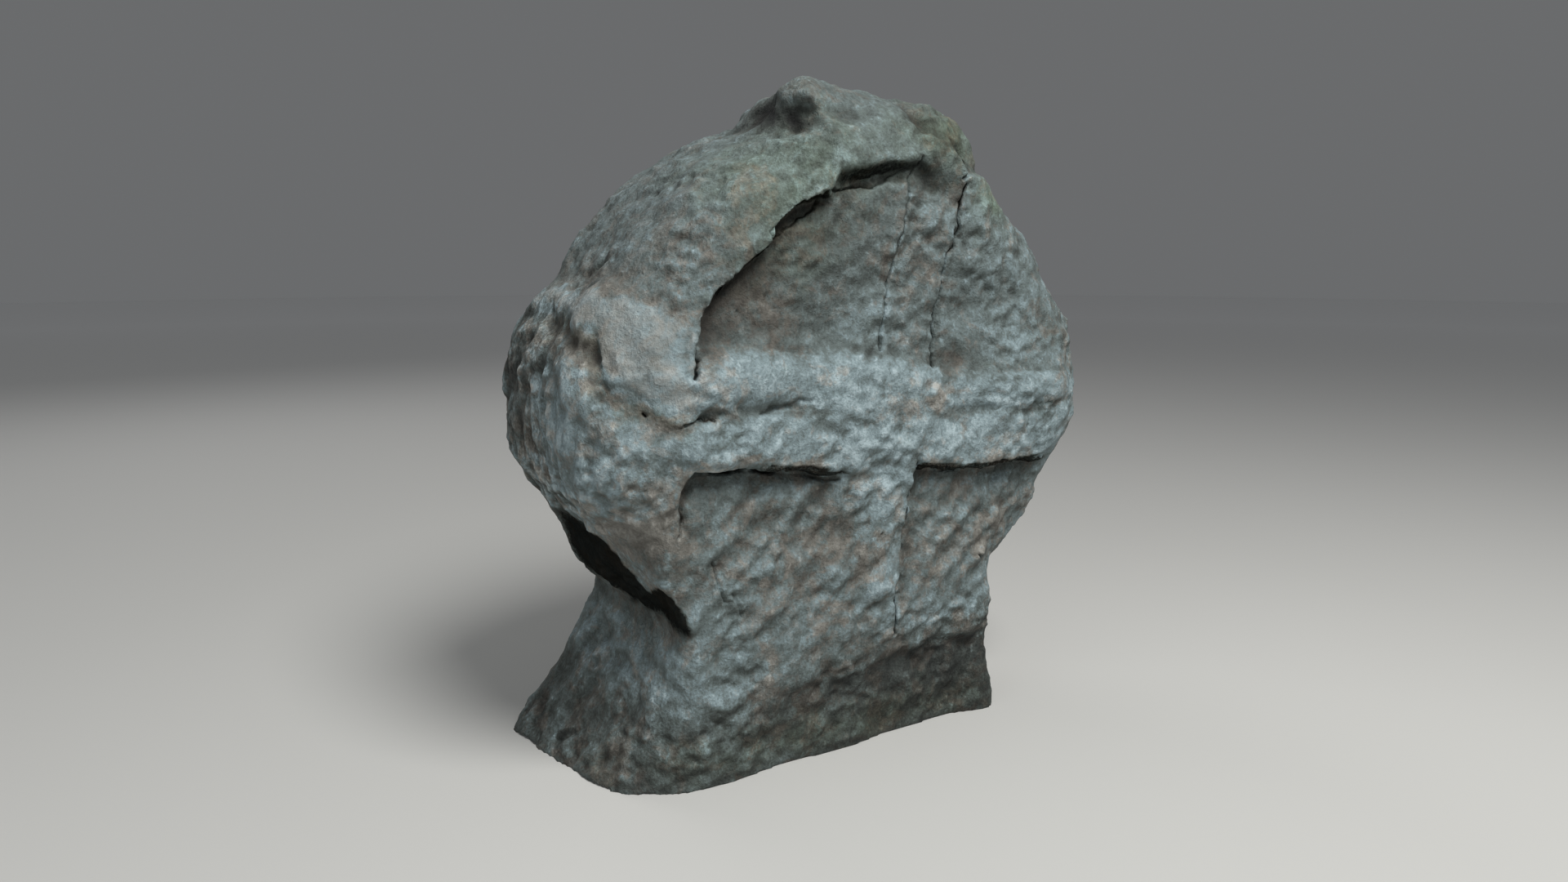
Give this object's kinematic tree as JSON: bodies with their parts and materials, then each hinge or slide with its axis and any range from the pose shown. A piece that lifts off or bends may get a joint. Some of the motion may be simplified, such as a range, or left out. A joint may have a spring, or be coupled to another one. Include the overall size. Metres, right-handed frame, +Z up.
{
  "type": "headstone",
  "caption": "Weathered stone headstone: a thick round head with short cross arms, a double band and stem in low relief, on a foot that spreads to the ground.",
  "frame": {"origin": "on the flat underside, below the middle of the round head, at the middle of the stone's thickness", "axes": "+Z up, the carved face looks toward -Y, +X to the right as one looks at the face"},
  "size_m": [0.6133, 0.3018, 0.6781],
  "materials": {
    "stone": "weathered, pecked"
  },
  "bodies": {
    "root": {"headstone": "stone"}
  },
  "joints": []
}
